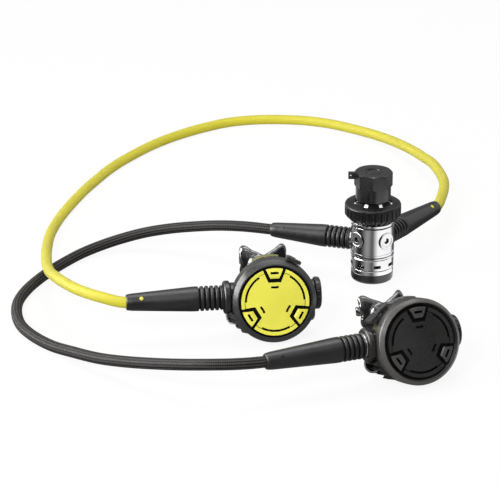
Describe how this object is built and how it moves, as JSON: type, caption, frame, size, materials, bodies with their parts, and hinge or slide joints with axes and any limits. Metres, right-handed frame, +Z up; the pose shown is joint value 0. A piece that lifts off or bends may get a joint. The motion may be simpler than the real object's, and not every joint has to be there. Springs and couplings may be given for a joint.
{
  "type": "scuba regulator set",
  "caption": "Scuba regulator set: a chromed first stage with a threaded cylinder connector and hand wheel, braided hoses, a main second stage and a yellow spare one, each with a purge cover.",
  "frame": {"origin": "centre of the first stage's base, on the ground the whole set lies on", "axes": "+Z up along the first stage's axis, towards the dust cap; +Y away from the viewer; the hoses loop out towards -X"},
  "size_m": [0.4008, 0.6898, 0.103],
  "materials": {
    "chrome": "polished",
    "brass": "machined",
    "spring_steel": "bright",
    "black_plastic": "satin, fine texture",
    "grey_plastic": "satin",
    "dark_plastic": "satin",
    "yellow_plastic": "soft gloss",
    "black_braid": "fine braid over rubber",
    "yellow_braid": "fine braid over rubber",
    "sleeve_rubber": "smooth satin",
    "black_rubber": "satin",
    "black_silicone": "glossy"
  },
  "bodies": {
    "first_stage": {"base_cap": "black_plastic", "spring_carrier": "chrome", "adjusting_screw": "brass", "main_spring": "spring_steel", "spring_pad": "brass", "first_stage_diaphragm": "black_rubber", "first_stage_body": "chrome", "valve_spring": "spring_steel", "port_plugs": "chrome", "din_connector": "chrome", "inlet_filter": "brass", "din_o_ring": "grey_plastic", "black_hose_fitting": "chrome", "black_hose_first_sleeve": "sleeve_rubber", "black_hose": "black_braid", "black_hose_second_sleeve": "sleeve_rubber", "black_hose_nut": "black_plastic", "yellow_hose_fitting": "chrome", "yellow_hose_first_sleeve": "sleeve_rubber", "yellow_hose": "yellow_braid", "yellow_hose_second_sleeve": "sleeve_rubber", "yellow_hose_nut": "black_plastic"},
    "regulating_valve": {"pressure_valve": "brass", "push_pin": "spring_steel"},
    "hand_wheel": {"din_handwheel": "black_plastic", "din_screw": "chrome"},
    "dust_cap": {"dust_cap": "black_plastic"},
    "primary_stage": {"primary_case": "grey_plastic", "primary_ring": "grey_plastic", "primary_cover": "dark_plastic", "primary_diaphragm": "black_rubber", "primary_valve_tube": "brass", "primary_poppet_spring": "spring_steel", "primary_exhaust_valve": "black_rubber", "primary_exhaust_tee": "black_rubber", "primary_mouthpiece": "black_silicone", "primary_mouthpiece_clamp": "black_plastic"},
    "primary_purge": {"primary_purge_button": "dark_plastic", "primary_diaphragm_plate": "spring_steel"},
    "primary_lever": {"primary_demand_lever": "spring_steel"},
    "primary_valve": {"primary_poppet": "brass"},
    "primary_knob": {"primary_effort_knob": "black_plastic"},
    "primary_venturi": {"primary_venturi_lever": "black_plastic"},
    "octopus_stage": {"octopus_case": "grey_plastic", "octopus_ring": "grey_plastic", "octopus_cover": "yellow_plastic", "octopus_diaphragm": "black_rubber", "octopus_valve_tube": "brass", "octopus_poppet_spring": "spring_steel", "octopus_exhaust_valve": "black_rubber", "octopus_exhaust_tee": "black_rubber", "octopus_mouthpiece": "black_silicone", "octopus_mouthpiece_clamp": "black_plastic"},
    "octopus_purge": {"octopus_purge_button": "yellow_plastic", "octopus_diaphragm_plate": "spring_steel"},
    "octopus_lever": {"octopus_demand_lever": "spring_steel"},
    "octopus_valve": {"octopus_poppet": "brass"},
    "octopus_knob": {"octopus_effort_knob": "black_plastic"},
    "octopus_venturi": {"octopus_venturi_lever": "black_plastic"}
  },
  "joints": [
    {"name": "hand_wheel_spin", "type": "hinge", "parent": "first_stage", "child": "hand_wheel", "pos_m": [0, 0, 0.066], "axis": [0, 0, 1], "continuous": true},
    {"name": "dust_cap_pull", "type": "slide", "parent": "hand_wheel", "child": "dust_cap", "axis": [0, 0, 1], "range_m": [0, 0.03]},
    {"name": "regulating_valve_lift", "type": "slide", "parent": "first_stage", "child": "regulating_valve", "axis": [0, 0, 1], "range_m": [0, 0.0005], "stiffness_N_per_m": 4000, "springref_m": -0.0005},
    {"name": "primary_hose_swivel", "type": "hinge", "parent": "first_stage", "child": "primary_stage", "pos_m": [0.02277, -0.21511, 0.03572], "axis": [0.9304, 0.3665, 0], "continuous": true},
    {"name": "primary_purge_press", "type": "slide", "parent": "primary_stage", "child": "primary_purge", "axis": [-0.3476, 0.8823, -0.3173], "range_m": [0, 0.0022], "stiffness_N_per_m": 1500, "springref_m": -0.0005},
    {"name": "primary_lever_tilt", "type": "hinge", "parent": "primary_stage", "child": "primary_lever", "pos_m": [0.03692, -0.2183, 0.03845], "axis": [0.1163, -0.2952, -0.9483], "range_deg": [0, 9.6]},
    {"name": "primary_valve_lift", "type": "slide", "parent": "primary_stage", "child": "primary_valve", "axis": [0.9304, 0.3665, 0], "range_m": [0, 0.00082]},
    {"name": "primary_effort_turn", "type": "hinge", "parent": "primary_stage", "child": "primary_knob", "pos_m": [0.06026, -0.20034, 0.03572], "axis": [0.9304, 0.3665, 0], "range_deg": [0, 720]},
    {"name": "primary_venturi_turn", "type": "hinge", "parent": "primary_stage", "child": "primary_venturi", "pos_m": [0.00107, -0.21664, 0.06154], "axis": [-0.641, 0.0234, 0.7672], "range_deg": [0, 50]},
    {"name": "octopus_hose_swivel", "type": "hinge", "parent": "first_stage", "child": "octopus_stage", "pos_m": [-0.09186, -0.12697, 0.03677], "axis": [0.9914, 0.1305, 0], "continuous": true},
    {"name": "octopus_purge_press", "type": "slide", "parent": "octopus_stage", "child": "octopus_purge", "axis": [-0.1274, 0.9679, -0.2164], "range_m": [0, 0.0022], "stiffness_N_per_m": 1500, "springref_m": -0.0005},
    {"name": "octopus_lever_tilt", "type": "hinge", "parent": "octopus_stage", "child": "octopus_lever", "pos_m": [-0.07886, -0.13373, 0.03864], "axis": [0.0283, -0.2146, -0.9763], "range_deg": [0, 9.6]},
    {"name": "octopus_valve_lift", "type": "slide", "parent": "octopus_stage", "child": "octopus_valve", "axis": [0.9914, 0.1305, 0], "range_m": [0, 0.00082]},
    {"name": "octopus_effort_turn", "type": "hinge", "parent": "octopus_stage", "child": "octopus_knob", "pos_m": [-0.0519, -0.12171, 0.03677], "axis": [0.9914, 0.1305, 0], "range_deg": [0, 720]},
    {"name": "octopus_venturi_turn", "type": "hinge", "parent": "octopus_stage", "child": "octopus_venturi", "pos_m": [-0.07655, -0.1205, 0.06596], "axis": [0.4249, 0.2505, 0.8699], "range_deg": [0, 50]}
  ],
  "couplings": [
    {"joint": "primary_lever_tilt", "follows": "primary_purge_press", "rad_per_m": 71.4},
    {"joint": "primary_valve_lift", "follows": "primary_purge_press", "ratio": 0.36},
    {"joint": "octopus_lever_tilt", "follows": "octopus_purge_press", "rad_per_m": 71.4},
    {"joint": "octopus_valve_lift", "follows": "octopus_purge_press", "ratio": 0.36}
  ]
}
